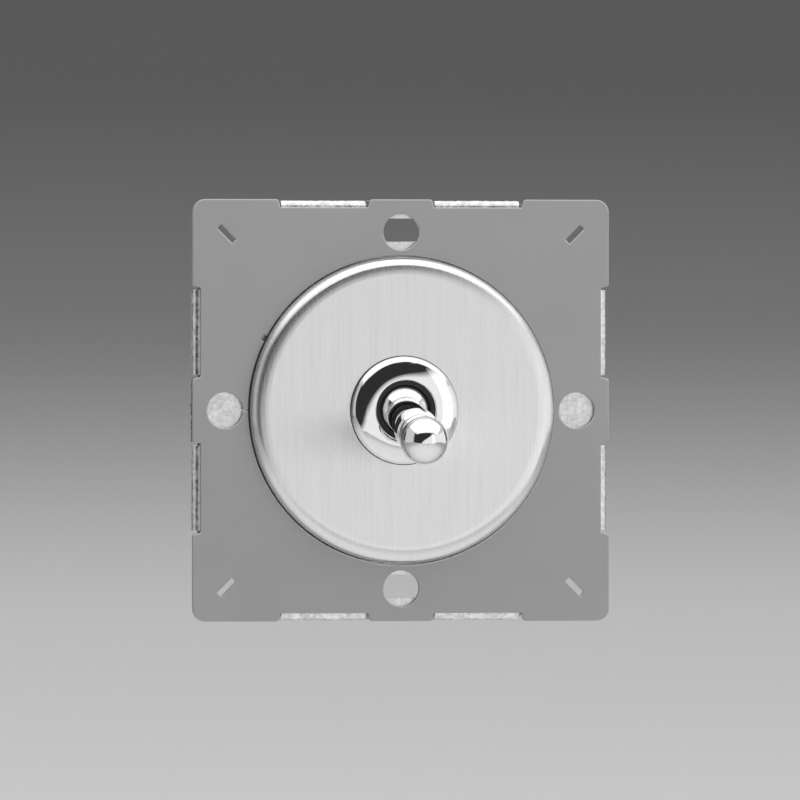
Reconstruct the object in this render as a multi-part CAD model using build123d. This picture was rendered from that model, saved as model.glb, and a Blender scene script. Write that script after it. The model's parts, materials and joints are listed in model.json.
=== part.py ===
from build123d import *
import os
from math import asin, cos, degrees, radians, sin, sqrt, tan

# All sizes in mm. X is right, Z is up, Y runs into the wall; the wall face is y = 0.

# Front plate
PLATE_SIDE = 71.0
PLATE_SHEET = 1.0
PLATE_CORNER_R = 2.2
PLATE_STAND = 4.2
PLATE_HOLE_D = 6.1
SCREW_PITCH = 60.0
CLIP_SLOT_LENGTH = 3.6
CLIP_SLOT_WIDTH = 1.0
CLIP_SLOT_REACH = 29.7
NOTCH_START = 5.6
NOTCH_LENGTH = 15.0
NOTCH_DEPTH = 1.35
NOTCH_SLANT = 0.6
NOTCH_ROUND = 0.5
NICK_ANGLE = 152.5
NICK_SIZE = 1.1
SLIT_WIDTH = 0.2

# Mounting frame
FRAME_SHEET = 0.7
FRAME_BEND_R = 0.5
FRAME_CORNER_CUT = 15.0
FLANGE_INSET = 0.15
FLANGE_LIP = 3.0
SCREW_SLOT_LENGTH = 8.0
SCREW_SLOT_WIDTH = 3.9
SCREW_SLOT_RISE = 0.35
PAD_LENGTH = 10.4
PAD_WIDTH = 7.6
PAD_CORNER_R = 1.5
EARTH_TAB_WIDTH = 8.0
EARTH_TAB_LENGTH = 10.0
EARTH_CLAMP_SIDE = 6.0
EARTH_CLAMP_SHEET = 0.8
EARTH_SCREW_D = 3.0

# Face disc and bezel ring
DISC_D = 51.65
DISC_RISE = 3.0
DISC_SHEET = 0.8
DISC_EDGE_R = 1.9
DISC_EASE_R = 5.8
DISC_EASE_ANGLE = 15.0
BEZEL_D = 18.2
BEZEL_RIM = 0.3
BEZEL_EDGE_R = 1.35
BEZEL_SHOULDER = 18.0
BEZEL_DOME_R = 11.3
BEZEL_MOUTH_D = 10.1
BEZEL_LIP = 0.4
BEZEL_ROUND = 0.2

# Lever and its ball seat
LEVER_TILT = 12.2
LEVER_REACH = 23.7
TIP_D = 8.1
COLLAR_D = 7.5
COLLAR_LENGTH = 3.4
COLLAR_SETBACK = 8.5
COVE_D = 5.2
NECK_BEAD = 0.15
BALL_D = 11.0
BALL_TAIL = 3.2
SEAT_D = 8.5
SEAT_LIP = 0.4
SEAT_CHAMFER = 0.3
BUSH_WALL = 1.2
PIVOT_PIN_D = 1.8
PIVOT_PIN_BEARING = 2.5

# Actuator, spring and plunger
SPIGOT_D = 4.0
SPIGOT_LENGTH = 3.0
ACTUATOR_WEB = 0.8
SPRING_SOCKET_D = 3.8
SPRING_LENGTH = 2.8
SPRING_WIRE = 0.36
SPRING_TURNS = 4.5
PLUNGER_GUIDE = 1.6
PLUNGER_REACH = 3.4

# Contact rocker and contacts
ROCKER_SHARE = 0.35
ROCKER_THICK = 1.6
ROCKER_WIDTH = 7.0
CONTACT_D = 3.0
CONTACT_HEIGHT = 0.7
CONTACT_DOME_R = 4.0
RIDGE_D = 1.6
RIDGE_WIDTH = 6.0

# Terminals
CONTACT_PLATE = 1.0
BLOCK_WIDTH = 7.4
BLOCK_DEPTH = 7.0
BLOCK_HEIGHT = 8.0
WIRE_BORE_D = 3.6
WIRE_BORE_DEPTH = 6.5
WIRE_BORE_INSET = 1.2
WIRE_FUNNEL = 0.8
TERMINAL_SCREW_D = 3.0

# Mechanism cover and housing
HOUSING_WIDTH = 28.0
HOUSING_HEIGHT = 36.0
HOUSING_CORNER_R = 3.0
HOUSING_EDGE_R = 0.8
HOUSING_WALL = 1.6
HOUSING_BACK = 2.4
COVER_FLANGE = 2.0
COVER_PLUG = 3.0
BOSS_D = 21.0
HOUSING_SCREW_D = 2.0
HOUSING_SCREW_GRIP = 2.6
RIVET_D = 2.4
RIVET_X = 19.0
RIVET_Z = 9.0

# Clearances
DISC_GAP = 0.25
FLANGE_END_GAP = 0.3
CUP_GAP = 0.6
SOCKET_GAP = 0.1
THREAD_GAP = 0.05
NECK_GAP = 0.2
STOP_GAP = 0.08
PIN_GAP = 0.03
SLIDE_GAP = 0.08
PLUNGER_GAP = 0.04
CONTACT_GAP = 0.04
RIDGE_GAP = 0.05
POCKET_GAP = 0.1
HOLE_GAP = 0.3
WIRE_GAP = 0.5
BLOCK_SIDE_GAP = 1.1
POST_GAP = 0.4
BEND_RELIEF = 0.5
CUT_PAST = 1.0

# Proportions of screw heads and rounding
HEAD_RATIO = 1.7
HEAD_HEIGHT_RATIO = 0.55
DRIVE_SLOT_RATIO = 0.25

# Stations along Y, from the front plate to the housing's back
plate_front = -PLATE_STAND
plate_back = plate_front + PLATE_SHEET
frame_front = -FRAME_SHEET
disc_face = plate_front - DISC_RISE
disc_back = disc_face + DISC_SHEET
flange_front = frame_front - COVER_FLANGE
pad_height = frame_front - plate_back
bore_r = BALL_D / 2 + SOCKET_GAP
bush_r = bore_r + BUSH_WALL
thread_r = bush_r + THREAD_GAP

# Bezel ring: its edge arc runs into the dome at the shoulder, and the dome ends at the lip
shoulder = radians(BEZEL_SHOULDER)
shoulder_r = BEZEL_D / 2 - BEZEL_EDGE_R * (1 - sin(shoulder))
shoulder_y = disc_face - BEZEL_RIM - BEZEL_EDGE_R * cos(shoulder)
lip_r = BEZEL_MOUTH_D / 2 + BEZEL_ROUND
lip_slope = asin(sin(shoulder) - (shoulder_r - lip_r) / BEZEL_DOME_R)
bezel_front = shoulder_y - BEZEL_DOME_R * (cos(lip_slope) - cos(shoulder))
bezel_ledge = bezel_front + BEZEL_LIP

# Ball seat and pivot along Y
seat_front = bezel_ledge + THREAD_GAP
seat_back = seat_front + SEAT_LIP
pivot_y = seat_back + sqrt(bore_r**2 - (SEAT_D / 2) ** 2)

# Lever stations, from the pivot, positive to the rear
spigot_end = BALL_TAIL + SPIGOT_LENGTH
socket_floor = spigot_end + ACTUATOR_WEB
plunger_back = socket_floor + SPRING_LENGTH
actuator_end = plunger_back + PLUNGER_GUIDE
plunger_tip = actuator_end + PLUNGER_REACH
rocker_reach = plunger_tip + PLUNGER_GAP + ROCKER_THICK
tilt = radians(LEVER_TILT)
neck_r = SEAT_D / 2 - (pivot_y - seat_front) * tan(tilt) - NECK_GAP
actuator_r = (bore_r - STOP_GAP - (COVER_PLUG - pivot_y) * tan(tilt)) * cos(tilt)
plunger_r = SPRING_SOCKET_D / 2 - SLIDE_GAP

# Places of the housing screws, the terminal blocks and the contacts in X and Z
screw_inset = HOUSING_WALL + 0.8 * HOUSING_SCREW_D
housing_screw_x = HOUSING_WIDTH / 2 - screw_inset
housing_screw_z = HOUSING_HEIGHT / 2 - screw_inset
block_x = HOUSING_WIDTH / 2 - HOUSING_WALL - BLOCK_SIDE_GAP - BLOCK_WIDTH / 2
block_end = HOUSING_HEIGHT / 2 - HOUSING_WALL - POCKET_GAP
contact_land = 0.8 * CONTACT_D
contact_arm = housing_screw_z - HOUSING_SCREW_D - POST_GAP - contact_land

# Rocker and terminal stations along Y
rocker_y = pivot_y + rocker_reach
rocker_tilt = ROCKER_SHARE * LEVER_TILT
dome_drop = CONTACT_DOME_R - CONTACT_HEIGHT
closed_reach = CONTACT_DOME_R - dome_drop * cos(radians(rocker_tilt))
closed_reach += contact_arm * sin(radians(rocker_tilt)) + CONTACT_GAP
contact_plate_y = rocker_y + closed_reach + CONTACT_HEIGHT
floor_y = contact_plate_y + CONTACT_PLATE
pocket_y = floor_y + BLOCK_DEPTH
housing_back = pocket_y + HOUSING_BACK
wire_y = floor_y + WIRE_BORE_INSET + WIRE_BORE_D / 2

# Frame and plate outline
plate_half = PLATE_SIDE / 2
flange_outer = plate_half - FLANGE_INSET
notch_floor = plate_half - NOTCH_DEPTH
notch_mid = NOTCH_START + NOTCH_LENGTH / 2
opening_r = DISC_D / 2 + DISC_GAP
hole_r = SCREW_PITCH / 2
earth_x = HOUSING_WIDTH / 2 + HOLE_GAP + 2 * FRAME_SHEET
earth_y = EARTH_TAB_LENGTH * 0.6
bend_outer = FRAME_BEND_R + FRAME_SHEET
bend_line = flange_outer - bend_outer
earth_bend_x = earth_x + bend_outer
lug_width = NOTCH_LENGTH - 2 * FLANGE_END_GAP


def rod(radius, y0, y1, x=0.0, z=0.0):
    """A cylinder along Y."""
    return Pos(x, (y0 + y1) / 2, z) * Rot(90, 0, 0) * Cylinder(radius, y1 - y0)


def cross_rod(radius, x0, x1, y, z=0.0):
    """A cylinder along X."""
    return Pos((x0 + x1) / 2, y, z) * Rot(0, 90, 0) * Cylinder(radius, x1 - x0)


def block(x0, x1, y0, y1, z0, z1):
    """A box between two corners."""
    centre = Pos((x0 + x1) / 2, (y0 + y1) / 2, (z0 + z1) / 2)
    return centre * Box(x1 - x0, y1 - y0, z1 - z0)


def slab(sketch, y0, y1):
    """A sketch in X and Z, made solid from y0 to y1."""
    return extrude(Plane.XZ.offset(-y1) * sketch, y1 - y0)


def turned(outline):
    """A closed outline of radius and y, turned about the Y axis."""
    return revolve(make_face(outline), Axis.Y, 360)


def quarter_turns(sketch):
    """A sketch repeated on the four sides."""
    return [Rot(0, 0, angle) * sketch for angle in (0, 90, 180, 270)]


def screw_points():
    """Places of the housing's screws in X and Z."""
    high = [(side * housing_screw_x, housing_screw_z) for side in (-1, 1)]
    return high + [(0, -housing_screw_z)]


def rivet_points():
    """Places of the rivets in X and Z."""
    return [(x, z) for x in (-RIVET_X, RIVET_X) for z in (-RIVET_Z, RIVET_Z)]


def terminal_places():
    """X of each terminal block and the side, up or down, that its wire enters."""
    return {"common": (block_x, -1), "upper": (0, 1), "lower": (-block_x, -1)}


def edge_notch():
    """One notch in the plate's upper edge, wider at its mouth."""
    low, high = NOTCH_START, NOTCH_START + NOTCH_LENGTH
    mouth = plate_half + CUT_PAST
    points = [
        (low - NOTCH_SLANT, mouth),
        (low, notch_floor),
        (high, notch_floor),
        (high + NOTCH_SLANT, mouth),
    ]
    return Polygon(*points, align=None)


def at_notch_mouth(corner):
    """True for a corner of the plate's outline where a notch meets the edge."""
    near, far = sorted((abs(corner.X), abs(corner.Y)))
    return far > notch_floor + NOTCH_DEPTH / 2 and near < plate_half - 1.5 * PLATE_CORNER_R


def front_plate():
    outline = RectangleRounded(PLATE_SIDE, PLATE_SIDE, PLATE_CORNER_R)
    outline -= Circle(opening_r)
    outline -= quarter_turns(Pos(0, hole_r) * Circle(PLATE_HOLE_D / 2))
    outline -= quarter_turns(edge_notch())
    outline -= quarter_turns(mirror(edge_notch(), Plane.YZ))
    outline = fillet(outline.vertices().filter_by(at_notch_mouth), NOTCH_ROUND)
    clip = Pos(CLIP_SLOT_REACH, CLIP_SLOT_REACH) * Rectangle(
        CLIP_SLOT_LENGTH, CLIP_SLOT_WIDTH, 45
    )
    outline -= quarter_turns(clip)
    nick = Pos(opening_r, 0) * Rectangle(NICK_SIZE, NICK_SIZE)
    outline -= Rot(0, 0, NICK_ANGLE) * nick
    outline -= Pos(-opening_r, 0) * Rectangle(2 * (hole_r - opening_r), SLIT_WIDTH)
    return slab(outline, plate_front, plate_back)


def screw_pad(inset, y):
    """The form of the pad behind the top hole, smaller all round by the inset, forward from y."""
    foot = RectangleRounded(PAD_LENGTH - 2 * inset, PAD_WIDTH - 2 * inset, PAD_CORNER_R - inset)
    return slab(Pos(0, hole_r) * foot, y - pad_height, y)


def frame_outline():
    side = 2 * flange_outer
    outline = chamfer(Rectangle(side, side).vertices(), FRAME_CORNER_CUT)
    hole = RectangleRounded(
        HOUSING_WIDTH + 2 * HOLE_GAP, HOUSING_HEIGHT + 2 * HOLE_GAP, HOUSING_CORNER_R
    )
    outline -= hole
    outline -= Pos(earth_bend_x / 2, 0) * Rectangle(earth_bend_x, EARTH_TAB_WIDTH + 2 * HOLE_GAP)
    relief = Pos(notch_mid, bend_line + bend_outer) * Rectangle(
        lug_width + 2 * BEND_RELIEF, 2 * bend_outer
    )
    outline -= quarter_turns(relief)
    outline -= quarter_turns(mirror(relief, Plane.YZ))
    return outline


def bent_sheet(*corners):
    """A profile of sheet whose middle line runs by these corners, bent at each."""
    return trace(FilletPolyline(*corners, radius=FRAME_BEND_R + FRAME_SHEET / 2), FRAME_SHEET)


def plate_lug(side):
    """A lug bent forward behind one of the upper notches and turned in under the plate."""
    half = FRAME_SHEET / 2
    profile = bent_sheet(
        (bend_line - bend_outer, -half),
        (flange_outer - half, -half),
        (flange_outer - half, plate_back + half),
        (flange_outer - FLANGE_LIP, plate_back + half),
    )
    sketch_plane = Plane(origin=(side * notch_mid, 0, 0), x_dir=(0, 0, 1), z_dir=(-1, 0, 0))
    return extrude(sketch_plane * profile, lug_width / 2, both=True)


def earth_tab():
    """The tab bent back beside the housing, with the hole for its screw."""
    half = FRAME_SHEET / 2
    profile = bent_sheet(
        (earth_bend_x + bend_outer, -half),
        (earth_x + half, -half),
        (earth_x + half, EARTH_TAB_LENGTH),
    )
    tab = extrude(profile, EARTH_TAB_WIDTH / 2, both=True)
    return tab - cross_rod(EARTH_SCREW_D / 2, earth_x - CUT_PAST, earth_bend_x, earth_y)


def mounting_frame():
    frame = slab(frame_outline(), frame_front, 0) + earth_tab()
    for turn in (0, 90, 180, 270):
        frame += [Rot(0, turn, 0) * plate_lug(side) for side in (-1, 1)]
        frame += Rot(0, turn, 0) * screw_pad(0, frame_front)
        frame -= Rot(0, turn, 0) * screw_pad(FRAME_SHEET, 0)
    slot = SlotOverall(SCREW_SLOT_LENGTH, SCREW_SLOT_WIDTH)
    for side in (-1, 1):
        frame -= slab(Pos(0, side * hole_r + SCREW_SLOT_RISE) * slot, plate_back, 0)
    for x, z in rivet_points():
        frame -= rod(RIVET_D / 2, frame_front, 0, x, z)
    return frame


def face_disc():
    """The pressed cup, flat in front, eased over its shoulder and turned back at the rim."""
    half, ease = DISC_SHEET / 2, radians(DISC_EASE_ANGLE)
    shoulder = DISC_D / 2 - DISC_EDGE_R * (1 - sin(ease)) - DISC_EASE_R * sin(ease)
    face = Line((thread_r, disc_face + half), (shoulder, disc_face + half))
    eased = JernArc(face @ 1, face % 1, DISC_EASE_R - half, DISC_EASE_ANGLE)
    bend = JernArc(eased @ 1, eased % 1, DISC_EDGE_R - half, 90 - DISC_EASE_ANGLE)
    skirt = Line(bend @ 1, (DISC_D / 2 - half, frame_front))
    return revolve(trace(face + eased + bend + skirt, DISC_SHEET), Axis.Y, 360)


def bezel_ring():
    """The round nut, rolled over at its edge and gently domed in to its mouth."""
    rim, mouth = BEZEL_D / 2, BEZEL_MOUTH_D / 2
    rim_y = disc_face - BEZEL_RIM
    dome_centre = (
        shoulder_r - BEZEL_DOME_R * sin(shoulder), shoulder_y + BEZEL_DOME_R * cos(shoulder)
    )
    outline = Polyline((thread_r, disc_face), (rim, disc_face), (rim, rim_y))
    outline += CenterArc((rim - BEZEL_EDGE_R, rim_y), BEZEL_EDGE_R, 0, BEZEL_SHOULDER - 90)
    outline += CenterArc(
        dome_centre, BEZEL_DOME_R, BEZEL_SHOULDER - 90, degrees(lip_slope) - BEZEL_SHOULDER
    )
    outline += CenterArc((lip_r, bezel_front + BEZEL_ROUND), BEZEL_ROUND, -90, -90)
    outline += Polyline(
        (mouth, bezel_front + BEZEL_ROUND),
        (mouth, bezel_ledge),
        (thread_r, bezel_ledge),
        (thread_r, disc_face),
    )
    return turned(outline)


def mechanism_cover():
    cover = rod(DISC_D / 2 - DISC_SHEET - CUP_GAP, flange_front, frame_front)
    cover += rod(BOSS_D / 2, disc_back, flange_front)
    cover += rod(bush_r, seat_front, disc_back)
    body = RectangleRounded(HOUSING_WIDTH, HOUSING_HEIGHT, HOUSING_CORNER_R)
    cover += slab(body, frame_front, COVER_PLUG)
    cover -= rod(bore_r, seat_back, COVER_PLUG)
    cover -= rod(SEAT_D / 2, seat_front, seat_back)
    flare = Cone(SEAT_D / 2, SEAT_D / 2 + SEAT_CHAMFER, SEAT_CHAMFER)
    cover -= Pos(0, seat_front + SEAT_CHAMFER / 2, 0) * Rot(90, 0, 0) * flare
    cover -= cross_rod(PIVOT_PIN_D / 2, -bore_r - PIVOT_PIN_BEARING, BOSS_D, pivot_y)
    for x, z in rivet_points():
        cover -= rod(RIVET_D / 2, flange_front, frame_front, x, z)
    for x, z in screw_points():
        cover -= rod(HOUSING_SCREW_D / 2, COVER_PLUG - HOUSING_SCREW_GRIP, COVER_PLUG, x, z)
    return cover


def mechanism_housing():
    body = RectangleRounded(HOUSING_WIDTH, HOUSING_HEIGHT, HOUSING_CORNER_R)
    inside = Rectangle(HOUSING_WIDTH - 2 * HOUSING_WALL, HOUSING_HEIGHT - 2 * HOUSING_WALL)
    shell = slab(body, COVER_PLUG, housing_back)
    shell = fillet(shell.faces().sort_by(Axis.Y)[-1].edges(), HOUSING_EDGE_R)
    housing = shell - slab(inside, COVER_PLUG, floor_y)
    head_r = HEAD_RATIO * HOUSING_SCREW_D / 2
    for x, z in screw_points():
        housing += rod(HOUSING_SCREW_D, COVER_PLUG, floor_y, x, z)
        housing -= rod(HOUSING_SCREW_D / 2 + THREAD_GAP, COVER_PLUG, housing_back, x, z)
        housing -= rod(head_r + POCKET_GAP, housing_back - HOUSING_SCREW_D, housing_back, x, z)
    for x, way in terminal_places().values():
        half = BLOCK_WIDTH / 2 + POCKET_GAP
        far, near = block_end + POCKET_GAP, block_end - BLOCK_HEIGHT - POCKET_GAP
        low, high = sorted((way * far, way * near))
        housing -= block(x - half, x + half, floor_y, pocket_y, low, high)
        wall = Pos(x, wire_y, way * HOUSING_HEIGHT / 2) * Rot(90 - 90 * way, 0, 0)
        entry = WIRE_BORE_D / 2 + WIRE_GAP
        housing -= wall * Cylinder(entry, 3 * HOUSING_WALL)
        housing -= wall * Pos(0, 0, -WIRE_FUNNEL / 2) * Cone(entry, entry + WIRE_FUNNEL, WIRE_FUNNEL)
        head = HEAD_RATIO * TERMINAL_SCREW_D / 2 + HOLE_GAP
        screw_z = way * (block_end - BLOCK_HEIGHT / 2)
        housing -= rod(head, pocket_y, housing_back, x, screw_z)
    return housing


def slotted_screw(diameter, shank):
    """A screw with its seat at y = 0, its shank forward and its slotted head behind."""
    head = HEAD_HEIGHT_RATIO * diameter
    head_r = HEAD_RATIO * diameter / 2
    screw = rod(diameter / 2, -shank, 0) + rod(head_r, 0, head)
    depth = head / 2
    slot = DRIVE_SLOT_RATIO * diameter / 2
    return screw - block(-diameter, diameter, head - depth, head + CUT_PAST, -slot, slot)


def housing_screws():
    seat = housing_back - HOUSING_SCREW_D
    screw = slotted_screw(HOUSING_SCREW_D, seat - COVER_PLUG + HOUSING_SCREW_GRIP)
    return [Pos(x, seat, z) * screw for x, z in screw_points()]


def frame_rivets():
    head = rod(HEAD_RATIO * RIVET_D / 2, flange_front - RIVET_D / 3, flange_front)
    rivet = head + rod(RIVET_D / 2, flange_front, 0)
    return [Pos(x, 0, z) * rivet for x, z in rivet_points()]


def pivot_pin():
    half = bore_r + PIVOT_PIN_BEARING
    return cross_rod(PIVOT_PIN_D / 2, -half, half, pivot_y)


def on_lever(piece):
    """Places a piece built about the pivot, at the lever's resting tilt."""
    return Pos(0, pivot_y, 0) * Rot(LEVER_TILT, 0, 0) * piece


def toggle_lever():
    ball, tip, collar = BALL_D / 2, TIP_D / 2, COLLAR_D / 2
    bead_r = neck_r + NECK_BEAD
    bead_y = -sqrt(ball**2 - bead_r**2)
    collar_y = COLLAR_SETBACK - LEVER_REACH
    collar_end = collar_y - COLLAR_LENGTH
    edge = neck_r / 12
    cove_r = COVE_D / 2
    cove_y = -LEVER_REACH + sqrt(tip**2 - cove_r**2)
    outline = Polyline(
        (0, spigot_end),
        (SPIGOT_D / 2, spigot_end),
        (SPIGOT_D / 2, BALL_TAIL),
        (sqrt(ball**2 - BALL_TAIL**2), BALL_TAIL),
    )
    outline += ThreePointArc(
        (sqrt(ball**2 - BALL_TAIL**2), BALL_TAIL), (ball, 0), (bead_r, bead_y)
    )
    outline += CenterArc((neck_r, bead_y), NECK_BEAD, 0, -90)
    outline += Polyline(
        (neck_r, bead_y - NECK_BEAD),
        (neck_r - edge, collar_y),
        (collar - edge, collar_y),
        (collar, collar_y - edge),
        (collar, collar_end + edge),
        (collar - edge, collar_end),
    )
    outline += SagittaArc((collar - edge, collar_end), (cove_r, cove_y), edge)
    outline += ThreePointArc((cove_r, cove_y), (tip, -LEVER_REACH), (0, -LEVER_REACH - tip))
    outline += Line((0, -LEVER_REACH - tip), (0, spigot_end))
    lever = turned(outline) - cross_rod(PIVOT_PIN_D / 2 + PIN_GAP, -BALL_D, BALL_D, 0)
    return on_lever(lever)


def lever_actuator():
    actuator = rod(actuator_r, BALL_TAIL, actuator_end)
    actuator -= rod(SPIGOT_D / 2, BALL_TAIL, spigot_end)
    actuator -= rod(SPRING_SOCKET_D / 2, socket_floor, actuator_end)
    return on_lever(actuator)


def plunger_spring():
    wire = SPRING_WIRE / 2
    coil_r = plunger_r - wire
    rise = SPRING_LENGTH - SPRING_WIRE
    path = Helix(rise / SPRING_TURNS, rise, coil_r)
    start = Plane(origin=path @ 0, z_dir=path % 0)
    coil = sweep(start * RegularPolygon(wire, 4), path=path)
    return on_lever(Pos(0, socket_floor + wire, 0) * Rot(-90, 0, 0) * coil)


def spring_plunger():
    centre = plunger_tip - plunger_r
    plunger = rod(plunger_r, plunger_back, centre) + Pos(0, centre, 0) * Sphere(plunger_r)
    return on_lever(plunger)


def on_rocker(piece):
    """Places a piece built about the rocker's ridge, at its resting tilt."""
    return Pos(0, rocker_y, 0) * Rot(-rocker_tilt, 0, 0) * piece


def contact_rocker():
    half, reach = ROCKER_WIDTH / 2, contact_arm + CONTACT_D * 0.6
    rocker = block(-half, half, -ROCKER_THICK, 0, -reach, reach)
    rocker -= cross_rod(RIDGE_D / 2 + RIDGE_GAP, -half, half, 0)
    return on_rocker(rocker)


def rocker_contact_tips():
    dome = rod(CONTACT_D / 2, 0, CONTACT_HEIGHT) & Pos(0, -dome_drop, 0) * Sphere(CONTACT_DOME_R)
    return [on_rocker(Pos(0, 0, side * contact_arm) * dome) for side in (-1, 1)]


def fixed_contact_tips():
    front = contact_plate_y - CONTACT_HEIGHT
    tip = rod(CONTACT_D / 2, front, contact_plate_y)
    return [Pos(0, 0, side * contact_arm) * tip for side in (-1, 1)]


def strip(x0, x1, z0, z1):
    """A flat piece of contact plate."""
    return block(x0, x1, contact_plate_y, floor_y, z0, z1)


def upper_contact_plate():
    half = BLOCK_WIDTH / 2
    return strip(-half, half, contact_arm - contact_land, block_end)


def lower_contact_plate():
    x = terminal_places()["lower"][0]
    half, land = BLOCK_WIDTH / 2, contact_land
    plate = strip(x - half, x + half, -block_end, land - contact_arm)
    return plate + strip(x, land, -contact_arm - land, land - contact_arm)


def common_contact_plate():
    x = terminal_places()["common"][0]
    half, foot = BLOCK_WIDTH / 2, RIDGE_WIDTH / 2
    plate = strip(-foot, x + half, -foot, foot)
    plate += strip(x - half, x + half, -block_end, foot)
    ridge = RIDGE_D / 2
    plate += block(-foot, foot, rocker_y, contact_plate_y, -ridge, ridge)
    return plate + cross_rod(ridge, -foot, foot, rocker_y)


def terminal_block(name):
    x, way = terminal_places()[name]
    half = BLOCK_WIDTH / 2
    low, high = sorted((way * block_end, way * (block_end - BLOCK_HEIGHT)))
    body = block(x - half, x + half, floor_y, pocket_y, low, high)
    bore = Pos(x, wire_y, way * (block_end - WIRE_BORE_DEPTH / 2))
    body -= bore * Cylinder(WIRE_BORE_D / 2, WIRE_BORE_DEPTH)
    return body - rod(TERMINAL_SCREW_D / 2, wire_y, pocket_y, x, (low + high) / 2)


def terminal_screws():
    shank = pocket_y - wire_y - WIRE_BORE_D / 2 - POCKET_GAP
    screw = slotted_screw(TERMINAL_SCREW_D, shank)
    middle = block_end - BLOCK_HEIGHT / 2
    return [Pos(x, pocket_y, way * middle) * screw for x, way in terminal_places().values()]


def earth_clamp():
    half, left = EARTH_CLAMP_SIDE / 2, earth_x + FRAME_SHEET
    clamp = block(left, left + EARTH_CLAMP_SHEET, earth_y - half, earth_y + half, -half, half)
    return clamp - cross_rod(EARTH_SCREW_D / 2, left, left + EARTH_CLAMP_SHEET, earth_y)


def earth_screw():
    seat = earth_x + FRAME_SHEET + EARTH_CLAMP_SHEET
    screw = slotted_screw(EARTH_SCREW_D, FRAME_SHEET + EARTH_CLAMP_SHEET)
    return Pos(seat, earth_y, 0) * Rot(0, 0, -90) * screw


def save(name, shape):
    solids = shape if isinstance(shape, list) else [shape]
    export_step(Compound(solids) if len(solids) > 1 else solids[0], f"parts/{name}.step")


os.makedirs("parts", exist_ok=True)
pieces = [
    front_plate,
    mounting_frame,
    face_disc,
    bezel_ring,
    mechanism_cover,
    mechanism_housing,
    housing_screws,
    frame_rivets,
    pivot_pin,
    toggle_lever,
    lever_actuator,
    plunger_spring,
    spring_plunger,
    contact_rocker,
    rocker_contact_tips,
    fixed_contact_tips,
    upper_contact_plate,
    lower_contact_plate,
    common_contact_plate,
    terminal_screws,
    earth_clamp,
    earth_screw,
]
for piece in pieces:
    save(piece.__name__, piece())
for place in terminal_places():
    save(f"{place}_terminal_block", terminal_block(place))
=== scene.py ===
import json
import math

import bmesh
import bpy
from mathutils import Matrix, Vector

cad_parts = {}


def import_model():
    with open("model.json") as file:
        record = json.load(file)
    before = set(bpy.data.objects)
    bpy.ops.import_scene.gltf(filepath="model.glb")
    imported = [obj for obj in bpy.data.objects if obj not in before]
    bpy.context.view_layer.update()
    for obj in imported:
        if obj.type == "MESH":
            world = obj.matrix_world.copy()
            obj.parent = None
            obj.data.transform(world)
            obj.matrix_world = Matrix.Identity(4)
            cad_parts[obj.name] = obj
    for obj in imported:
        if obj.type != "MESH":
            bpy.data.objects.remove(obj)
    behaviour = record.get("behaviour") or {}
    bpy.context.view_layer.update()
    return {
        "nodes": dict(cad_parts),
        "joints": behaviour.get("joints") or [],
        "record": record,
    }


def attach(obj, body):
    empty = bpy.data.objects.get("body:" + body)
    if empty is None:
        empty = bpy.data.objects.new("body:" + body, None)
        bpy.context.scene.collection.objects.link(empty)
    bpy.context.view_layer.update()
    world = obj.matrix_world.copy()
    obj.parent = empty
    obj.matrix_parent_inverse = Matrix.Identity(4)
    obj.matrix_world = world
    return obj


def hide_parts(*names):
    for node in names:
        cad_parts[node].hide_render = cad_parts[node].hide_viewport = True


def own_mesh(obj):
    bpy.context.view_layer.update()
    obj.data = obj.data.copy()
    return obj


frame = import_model()

MM = 0.001

# Camera: far away, level with the switch and a little to its left
CAMERA_AZIMUTH = -9.3
CAMERA_ELEVATION = 0.0
CAMERA_DISTANCE = 2.4
VIEW_WIDTH = 134.7 * MM
SENSOR = 36.0
AIM = Vector((-0.22 * MM, -4.2 * MM, 1.73 * MM))

# Studio
FLOOR_Z = -0.7
WALL_Y = 2.6
WALL_TOP = 2.2
SWEEP_R = 0.4
SWEEP_HALF_WIDTH = 6.0
FLOOR_FRONT = -2.6
FLOOR_GREY = 0.88
# Top of the wall's painted shade
SHADED_WALL_GREY = 0.174

# Strength of what the switch mirrors: floor, sides, ceiling and the dark space in front
FLOOR_GLOW = 0.9
SIDE_GLOW = 0.6
CEILING_GLOW = 0.3
DARK_GLOW = 0.03
SEEN_GREY = 0.5

# Lever and spring, as in the solids
SOCKET_FLOOR = 7.0 * MM
SPRING_LENGTH = 2.8 * MM
SPRING_WIRE_R = 0.18 * MM
SPRING_COIL_R = 1.64 * MM
SPRING_TURNS = 4.5

# Dark ring at the foot of the bezel ring: a painted contact shadow
SHADOW_RING_R = 0.06 * MM


def joint(name):
    """The record's entry for a joint."""
    return next(entry for entry in frame["joints"] if entry["name"] == name)


def add(material, kind, settings=None, **inputs):
    """A new node in a material, with its settings and its inputs set or linked."""
    tree = material.node_tree
    made = tree.nodes.new(kind)
    for key, value in (settings or {}).items():
        setattr(made, key, value)
    for key, value in inputs.items():
        socket = made.inputs[key.replace("_", " ")]
        if isinstance(value, bpy.types.NodeSocket):
            tree.links.new(value, socket)
        else:
            socket.default_value = value
    return made


def surface(name, **constants):
    """A material whose shader has these constant sockets."""
    material = bpy.data.materials.new(name)
    material.use_nodes = True
    shader = material.node_tree.nodes["Principled BSDF"]
    for key, value in constants.items():
        shader.inputs[key.replace("_", " ")].default_value = value
    return material


def feed(material, **outputs):
    """Links outputs to the shader's sockets."""
    shader = material.node_tree.nodes["Principled BSDF"]
    for key, value in outputs.items():
        material.node_tree.links.new(value, shader.inputs[key.replace("_", " ")])


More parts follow.
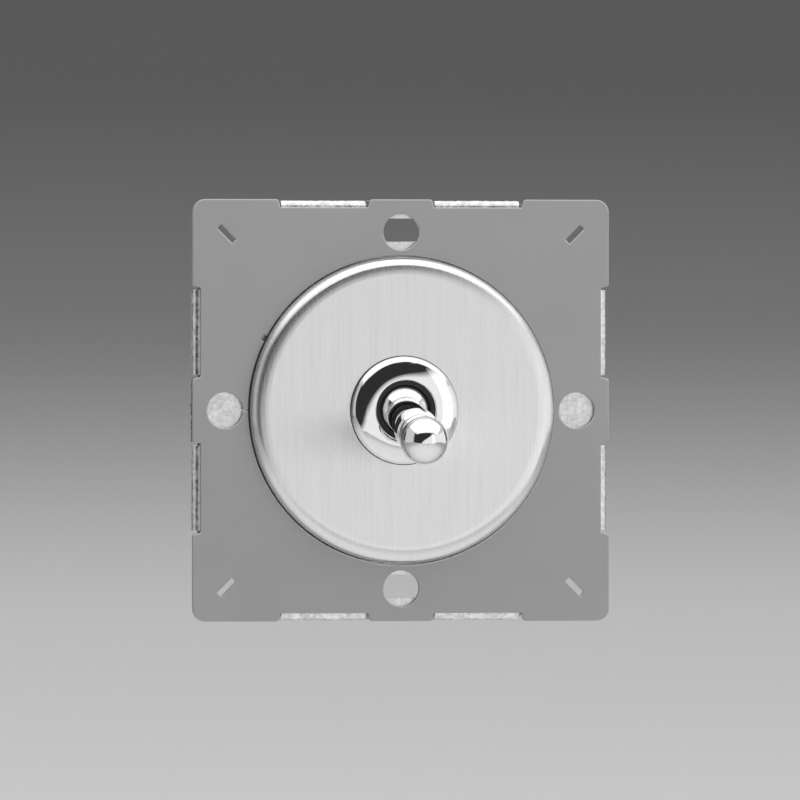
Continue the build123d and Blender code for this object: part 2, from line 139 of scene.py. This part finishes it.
def grain(material, scale, stretch=(1, 1, 1), detail=3.0, distortion=0.0):
    """Noise with this many features to the metre, drawn out where stretch is small."""
    place = add(material, "ShaderNodeTexCoord")
    mapped = add(material, "ShaderNodeMapping", Vector=place.outputs["Object"], Scale=stretch)
    noise = add(
        material,
        "ShaderNodeTexNoise",
        Vector=mapped.outputs["Vector"],
        Scale=scale,
        Detail=detail,
        Distortion=distortion,
    )
    return noise.outputs[0]


def span(material, factor, low, high, start=0.3, end=0.7, ease="LINEAR"):
    """A factor between start and end, spread from low to high."""
    spread = add(
        material,
        "ShaderNodeMapRange",
        {"interpolation_type": ease},
        Value=factor,
        From_Min=start,
        From_Max=end,
        To_Min=low,
        To_Max=high,
    )
    return spread.outputs["Result"]


def tint(material, factor, dark, light, start=0.3, end=0.7):
    """A colour between dark and light."""
    mixed = add(material, "ShaderNodeMix", {"data_type": "RGBA"})
    tree = material.node_tree
    tree.links.new(span(material, factor, 0, 1, start, end), mixed.inputs[0])
    mixed.inputs[6].default_value = (*dark, 1)
    mixed.inputs[7].default_value = (*light, 1)
    return mixed.outputs[2]


def reckon(material, operation, first, second):
    """Two factors, or a factor and a number, put together."""
    made = add(material, "ShaderNodeMath", {"operation": operation})
    for socket, value in zip(made.inputs, (first, second)):
        if isinstance(value, bpy.types.NodeSocket):
            material.node_tree.links.new(value, socket)
        else:
            socket.default_value = value
    return made.outputs[0]


def total(material, first, second, share):
    """Two factors added, the second with this share."""
    return reckon(material, "ADD", first, reckon(material, "MULTIPLY", second, share))


def softened(material, edge):
    """A normal with edges rounded by this radius."""
    return add(material, "ShaderNodeBevel", {"samples": 6}, Radius=edge).outputs["Normal"]


def relief(material, height, depth, edge):
    """A normal with small relief of this depth, and edges softened by this radius."""
    soft = softened(material, edge)
    bump = add(material, "ShaderNodeBump", Height=height, Distance=depth, Normal=soft)
    return bump.outputs["Normal"]


def upward_edge_highlight(material, edge):
    """Painted highlight: a factor that is 1 along edges of this radius that face up, where the
    overhead light would glint, and 0 on flat ground.
    """
    soft = softened(material, edge)
    flat = add(material, "ShaderNodeNewGeometry").outputs["True Normal"]
    turned = add(material, "ShaderNodeVectorMath", {"operation": "DOT_PRODUCT"})
    for socket, normal in zip(turned.inputs, (soft, flat)):
        material.node_tree.links.new(normal, socket)
    lean = add(material, "ShaderNodeSeparateXYZ", Vector=soft)
    rounded = span(material, turned.outputs["Value"], 1, 0, 0.86, 0.99)
    upward = span(material, lean.outputs["Z"], 0, 1, -0.1, 0.3)
    return reckon(material, "MULTIPLY", rounded, upward)


def satin_plate():
    """Grey satin sheet, with a painted highlight along its upper edges."""
    material = surface("satin_plate", Metallic=0.6)
    cloud = grain(material, 90, detail=4)
    rolled = grain(material, 5200, stretch=(0.12, 1, 1), detail=2)
    # Random tone, plus a painted highlight on up-facing edges in place of the overhead light's glint
    tone_and_edge_highlight = total(material, span(material, cloud, 0, 0.045), upward_edge_highlight(material, 0.45 * MM), 1)
    feed(
        material,
        Base_Color=tint(material, tone_and_edge_highlight, (0.415, 0.415, 0.412), (0.85, 0.85, 0.845), 0, 1),
        Roughness=span(material, rolled, 0.36, 0.44),
        Normal=relief(material, rolled, 0.002 * MM, 0.25 * MM),
    )
    return material


def galvanised():
    """Zinc-coated sheet with soft spangle and speckle."""
    material = surface("galvanised", Metallic=1.0)
    place = add(material, "ShaderNodeTexCoord")
    spangle = add(
        material, "ShaderNodeTexVoronoi", Vector=place.outputs["Object"], Scale=1300.0
    )
    speckle = grain(material, 1500, detail=4)
    facets = add(material, "ShaderNodeSeparateColor", Color=spangle.outputs["Color"])
    mixed = total(material, speckle, facets.outputs[0], 0.35)
    feed(
        material,
        Base_Color=tint(material, mixed, (0.60, 0.61, 0.62), (0.99, 0.99, 0.98), 0.45, 0.92),
        Roughness=span(material, mixed, 0.22, 0.40, 0.42, 0.95),
        Normal=relief(material, speckle, 0.02 * MM, 0.15 * MM),
    )
    return material


def brushed_face():
    """Metal brushed up and down, which smears what it mirrors from side to side."""
    material = surface("brushed_face", Metallic=1.0, Anisotropic=0.95)
    fine = grain(material, 4600, stretch=(1, 1, 0.026), detail=3)
    broad = grain(material, 1100, stretch=(1, 1, 0.04), detail=3)
    lines = total(material, fine, broad, 0.5)
    across = add(material, "ShaderNodeTangent", {"direction_type": "RADIAL", "axis": "Z"})
    feed(
        material,
        Base_Color=tint(material, lines, (0.80, 0.80, 0.795), (0.91, 0.91, 0.905), 0.5, 1.0),
        Roughness=span(material, fine, 0.24, 0.28),
        Normal=relief(material, lines, 0.001 * MM, 0.1 * MM),
        Tangent=across.outputs["Tangent"],
    )
    return material


def chrome():
    """Polished plating with faint wiping marks."""
    material = surface("chrome", Metallic=1.0)
    smear = grain(material, 420, detail=5, distortion=0.6)
    feed(
        material,
        Base_Color=tint(material, smear, (0.86, 0.865, 0.875), (0.93, 0.935, 0.94)),
        Roughness=span(material, smear, 0.025, 0.06),
        Normal=relief(material, smear, 0.0004 * MM, 0.06 * MM),
    )
    return material


def moulding(name, dark, light, low, high):
    """A moulded plastic with a fine spark-eroded skin and faint flow marks."""
    material = surface(name, Specular_IOR_Level=0.5)
    skin = grain(material, 6500, detail=3)
    flow = grain(material, 160, stretch=(1, 0.4, 1), detail=4, distortion=0.8)
    feed(
        material,
        Base_Color=tint(material, flow, dark, light),
        Roughness=span(material, skin, low, high),
        Normal=relief(material, skin, 0.006 * MM, 0.15 * MM),
    )
    return material


def bare_metal(name, dark, light, low, high, marks):
    """A turned or plated metal part with drawn marks and a little tarnish."""
    material = surface(name, Metallic=1.0)
    tarnish = grain(material, 700, detail=5, distortion=0.4)
    drawn = grain(material, marks, stretch=(1, 0.2, 1), detail=3)
    feed(
        material,
        Base_Color=tint(material, tarnish, dark, light),
        Roughness=span(material, drawn, low, high),
        Normal=relief(material, drawn, 0.005 * MM, 0.08 * MM),
    )
    return material


def finishes():
    """Each material slot of the record, with its material."""
    return {
        "satin_plate": satin_plate(),
        "galvanised": galvanised(),
        "brushed_face": brushed_face(),
        "chrome": chrome(),
        "black_moulding": moulding(
            "black_moulding", (0.010, 0.010, 0.011), (0.018, 0.018, 0.020), 0.30, 0.45
        ),
        "grey_moulding": moulding(
            "grey_moulding", (0.22, 0.225, 0.23), (0.27, 0.275, 0.28), 0.38, 0.52
        ),
        "nylon": moulding("nylon", (0.70, 0.67, 0.58), (0.80, 0.77, 0.69), 0.35, 0.5),
        "brass": bare_metal("brass", (0.58, 0.38, 0.15), (0.80, 0.60, 0.28), 0.22, 0.4, 4200),
        "silver": bare_metal("silver", (0.76, 0.74, 0.71), (0.93, 0.92, 0.90), 0.2, 0.34, 5200),
        "zinc_steel": bare_metal(
            "zinc_steel", (0.52, 0.54, 0.57), (0.72, 0.73, 0.74), 0.24, 0.4, 5200
        ),
    }


def dress_nodes(made):
    """Gives each solid the material of its slot."""
    for part in frame["record"]["subparts"]:
        slots = frame["nodes"][part["node"]].data.materials
        slots.clear()
        slots.append(made[part["material_slot"]])


def tube(name, points, radius, sides=12):
    """A closed round tube along points."""
    made = bmesh.new()
    turns = [2 * math.pi * step / sides for step in range(sides)]
    side = (points[1] - points[0]).orthogonal()
    rings = []
    for index, point in enumerate(points):
        ahead = points[min(index + 1, len(points) - 1)]
        behind = points[max(index - 1, 0)]
        along = (ahead - behind).normalized()
        side = (side - along * side.dot(along)).normalized()
        up = along.cross(side)
        rings.append(
            [made.verts.new(point + radius * (math.cos(t) * side + math.sin(t) * up)) for t in turns]
        )
    for first, second in zip(rings, rings[1:]):
        for step in range(sides):
            after = (step + 1) % sides
            made.faces.new((first[step], first[after], second[after], second[step]))
    made.faces.new(reversed(rings[0]))
    made.faces.new(rings[-1])
    for face in made.faces:
        face.smooth = len(face.verts) == 4
    bmesh.ops.recalc_face_normals(made, faces=made.faces)
    mesh = bpy.data.meshes.new(name)
    made.to_mesh(mesh)
    made.free()
    piece = bpy.data.objects.new(name, mesh)
    bpy.context.scene.collection.objects.link(piece)
    return piece


def plunger_spring(made):
    """The round-wire spring in the lever's socket, built as a fixed coil that rides with the lever.
    """
    pivot = Vector(joint("toggle_hinge")["pos_m"])
    rear = -Vector(joint("plunger_slide")["axis"]).normalized()
    right = Vector((1, 0, 0))
    up = rear.cross(right)
    base = pivot + rear * (SOCKET_FLOOR + SPRING_WIRE_R)
    rise = SPRING_LENGTH - 2 * SPRING_WIRE_R
    steps = 40 * math.ceil(SPRING_TURNS)
    points = []
    for step in range(steps + 1):
        share = step / steps
        angle = 2 * math.pi * SPRING_TURNS * share
        swing = math.cos(angle) * right + math.sin(angle) * up
        points.append(base + SPRING_COIL_R * swing + rise * share * rear)
    piece = tube("round_wire_spring", points, SPRING_WIRE_R)
    piece.data.materials.append(made["zinc_steel"])
    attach(piece, "lever")
    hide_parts("plunger_spring")
    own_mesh(piece)


def corners(node):
    """The corners of a solid's box in the shared frame."""
    solid = frame["nodes"][node]
    return [solid.matrix_world @ Vector(corner) for corner in solid.bound_box]


def bezel_shadow_ring(made):
    """A thin black ring round the foot of the bezel ring, standing in for the contact shadow there.
    """
    front = min(corner.y for corner in corners("face_disc"))
    reach = max(corner.x for corner in corners("bezel_ring"))
    bpy.ops.mesh.primitive_torus_add(
        major_radius=reach + SHADOW_RING_R,
        minor_radius=SHADOW_RING_R,
        major_segments=128,
        minor_segments=10,
        location=(0, front - SHADOW_RING_R, 0),
        rotation=(math.pi / 2, 0, 0),
    )
    piece = bpy.context.object
    piece.name = "bezel_shadow_ring"
    for face in piece.data.polygons:
        face.use_smooth = True
    piece.data.materials.append(made["black_moulding"])
    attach(piece, "switch_base")


def sweep_material():
    """A pale floor whose wall darkens upwards, with painted shade in place of light falling off up
    the wall.
    """
    material = surface("studio_sweep", Roughness=0.9, Specular_IOR_Level=0.1)
    place = add(material, "ShaderNodeTexCoord")
    split = add(material, "ShaderNodeSeparateXYZ", Vector=place.outputs["Object"])
    # Painted shade: the colour darkens from the floor through the bend and up the wall
    bend = span(material, split.outputs["Z"], 0, 0.5, -0.08, 0.035, "SMOOTHSTEP")
    height = total(material, bend, span(material, split.outputs["Z"], 0, 0.5, -0.15, 0.11), 1)
    pale, shaded_wall = ([grey] * 3 for grey in (FLOOR_GREY, SHADED_WALL_GREY))
    feed(material, Base_Color=tint(material, height, pale, shaded_wall, 0, 1))
    return material


def studio_sweep():
    """The floor and the wall behind, joined by a round bend."""
    made = bmesh.new()
    profile = [(FLOOR_FRONT, FLOOR_Z)]
    for step in range(25):
        angle = math.radians(90 * step / 24)
        y = WALL_Y - SWEEP_R + SWEEP_R * math.sin(angle)
        profile.append((y, FLOOR_Z + SWEEP_R - SWEEP_R * math.cos(angle)))
    profile.append((WALL_Y, WALL_TOP))
    rows = []
    for y, z in profile:
        rows.append([made.verts.new((x * SWEEP_HALF_WIDTH, y, z)) for x in (-1, 1)])
    for first, second in zip(rows, rows[1:]):
        made.faces.new((first[0], first[1], second[1], second[0])).smooth = True
    mesh = bpy.data.meshes.new("studio_sweep")
    made.to_mesh(mesh)
    made.free()
    sweep = bpy.data.objects.new("studio_sweep", mesh)
    bpy.context.scene.collection.objects.link(sweep)
    sweep.data.materials.append(sweep_material())


def direction(azimuth, elevation):
    """The way from the switch to a place round it."""
    a, e = math.radians(azimuth), math.radians(elevation)
    return Vector((math.sin(a) * math.cos(e), -math.cos(a) * math.cos(e), math.sin(e)))


def area_light(name, size, energy):
    """A soft rectangular light that the camera doesn't see."""
    lamp = bpy.data.lights.new(name, "AREA")
    lamp.shape = "RECTANGLE"
    lamp.size, lamp.size_y = size
    lamp.energy = energy
    holder = bpy.data.objects.new(name, lamp)
    holder.visible_camera = False
    bpy.context.scene.collection.objects.link(holder)
    return holder


def softbox(name, azimuth, elevation, distance, size, radiance):
    """A light that faces the switch."""
    holder = area_light(name, size, radiance * math.pi * size[0] * size[1])
    towards = direction(azimuth, elevation)
    holder.location = towards * distance
    holder.rotation_euler = towards.to_track_quat("Z", "Y").to_euler()


def wash(name, place, tilt, size, energy):
    """A light that shines straight down, or turned up by tilt degrees."""
    holder = area_light(name, size, energy)
    holder.location = place
    holder.rotation_euler = (math.radians(tilt), 0, 0)


def studio_lights():
    """Light from above and from the right, and light for the wall and the floor."""
    wash("overhead", (0.05, -0.054, 0.254), 12, (0.7, 0.5), 0.97)
    softbox("right_window", 34.5, 6, 0.6, (0.18, 0.5), 0.22)
    wash("wall_light", (0, WALL_Y - 0.7, -0.44), 100, (3.0, 0.3), 4.15)
    wash("floor_light", (0, -0.9, -0.12), 0, (3.0, 2.4), 11.5)


def world():
    """A white ceiling, pale floor and sides, and a dark space in front of the switch."""
    made = bpy.data.worlds.new("studio")
    made.use_nodes = True
    tree = made.node_tree
    back = tree.nodes["Background"]
    place = add(made, "ShaderNodeTexCoord")
    split = add(made, "ShaderNodeSeparateXYZ", Vector=place.outputs["Generated"])
    x, y, z = (split.outputs[axis] for axis in "XYZ")
    azimuth = reckon(made, "ARCTAN2", x, reckon(made, "MULTIPLY", y, -1))
    # The floor's far edge climbs towards the right and dips on the left; azimuth in radians
    rise = span(made, azimuth, 0.03, 0.5, -0.22, 0.55)
    dip = span(made, azimuth, -0.24, 0, -0.45, -0.2)
    climb = reckon(made, "ADD", rise, dip)
    floor = span(made, reckon(made, "SUBTRACT", z, climb), FLOOR_GLOW, 0, -0.12, 0)
    left = span(made, azimuth, SIDE_GLOW, 0, -1.15, -1.0)
    right = span(made, azimuth, 0, SIDE_GLOW, 0.85, 0.95)
    ceiling = span(made, z, DARK_GLOW, CEILING_GLOW, 0.55, 0.63)
    sides = reckon(made, "MAXIMUM", left, right)
    glow = reckon(made, "MAXIMUM", reckon(made, "MAXIMUM", sides, floor), ceiling)
    tree.links.new(glow, back.inputs["Strength"])
    back.inputs["Color"].default_value = (1, 1, 1, 1)
    plain = add(made, "ShaderNodeBackground", Color=(SEEN_GREY, SEEN_GREY, SEEN_GREY, 1))
    seen = add(made, "ShaderNodeLightPath")
    mixed = add(made, "ShaderNodeMixShader", Fac=seen.outputs["Is Camera Ray"])
    tree.links.new(back.outputs[0], mixed.inputs[1])
    tree.links.new(plain.outputs[0], mixed.inputs[2])
    tree.links.new(mixed.outputs[0], tree.nodes["World Output"].inputs["Surface"])
    bpy.context.scene.world = made


def camera():
    """A long lens, so that the plate's edges stay upright and level."""
    lens = bpy.data.cameras.new("camera")
    lens.sensor_width = SENSOR
    lens.lens = SENSOR * CAMERA_DISTANCE / VIEW_WIDTH
    holder = bpy.data.objects.new("camera", lens)
    towards = direction(CAMERA_AZIMUTH, CAMERA_ELEVATION)
    holder.location = AIM + towards * CAMERA_DISTANCE
    holder.rotation_euler = towards.to_track_quat("Z", "Y").to_euler()
    lens.clip_end = 20
    bpy.context.scene.collection.objects.link(holder)
    bpy.context.scene.camera = holder


made_finishes = finishes()
dress_nodes(made_finishes)
plunger_spring(made_finishes)
bezel_shadow_ring(made_finishes)
studio_sweep()
studio_lights()
world()
camera()
bpy.context.scene.view_settings.view_transform = "Standard"
